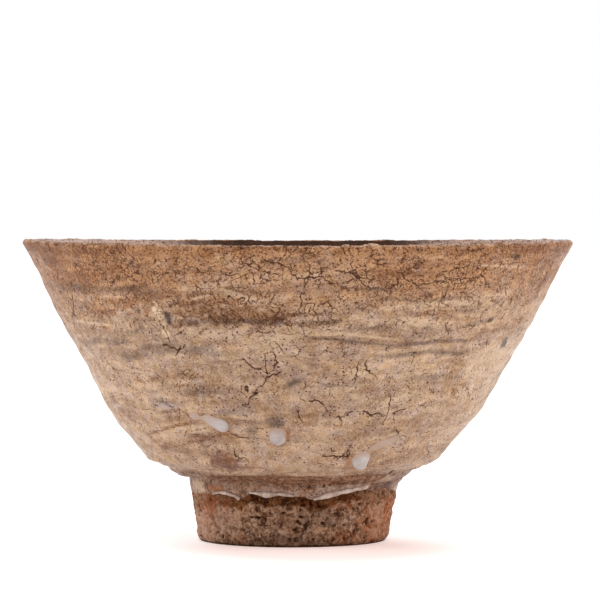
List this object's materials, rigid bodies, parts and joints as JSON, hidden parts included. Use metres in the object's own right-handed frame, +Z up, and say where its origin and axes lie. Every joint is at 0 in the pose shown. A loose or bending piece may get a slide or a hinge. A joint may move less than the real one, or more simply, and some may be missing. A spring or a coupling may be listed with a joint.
{
  "type": "tea bowl",
  "caption": "Flared hand-thrown tea bowl on a tall foot ring, with crackled buff glaze, white glaze drops and a rough bare foot, for whisking and drinking tea.",
  "frame": {"origin": "on the table under the middle of the lip", "axes": "+Z up through the middle of the lip, -Y towards the pictured front, +X to its right"},
  "size_m": [0.15, 0.1488, 0.0815],
  "materials": {
    "bare_clay": "matte",
    "outer_glaze": "satin",
    "lip_glaze": "satin",
    "inner_glaze": "satin",
    "white_glaze": "gloss"
  },
  "bodies": {
    "root": {"clay_bowl": "bare_clay", "foot_ring": "bare_clay", "outer_glaze": "outer_glaze", "lip_glaze": "lip_glaze", "inner_glaze": "inner_glaze", "glaze_drop_left": "white_glaze", "glaze_drop_centre": "white_glaze", "glaze_drop_right": "white_glaze", "glaze_streak": "white_glaze", "glaze_roll_left": "white_glaze", "glaze_roll_centre": "white_glaze", "glaze_roll_right": "white_glaze"}
  },
  "joints": []
}
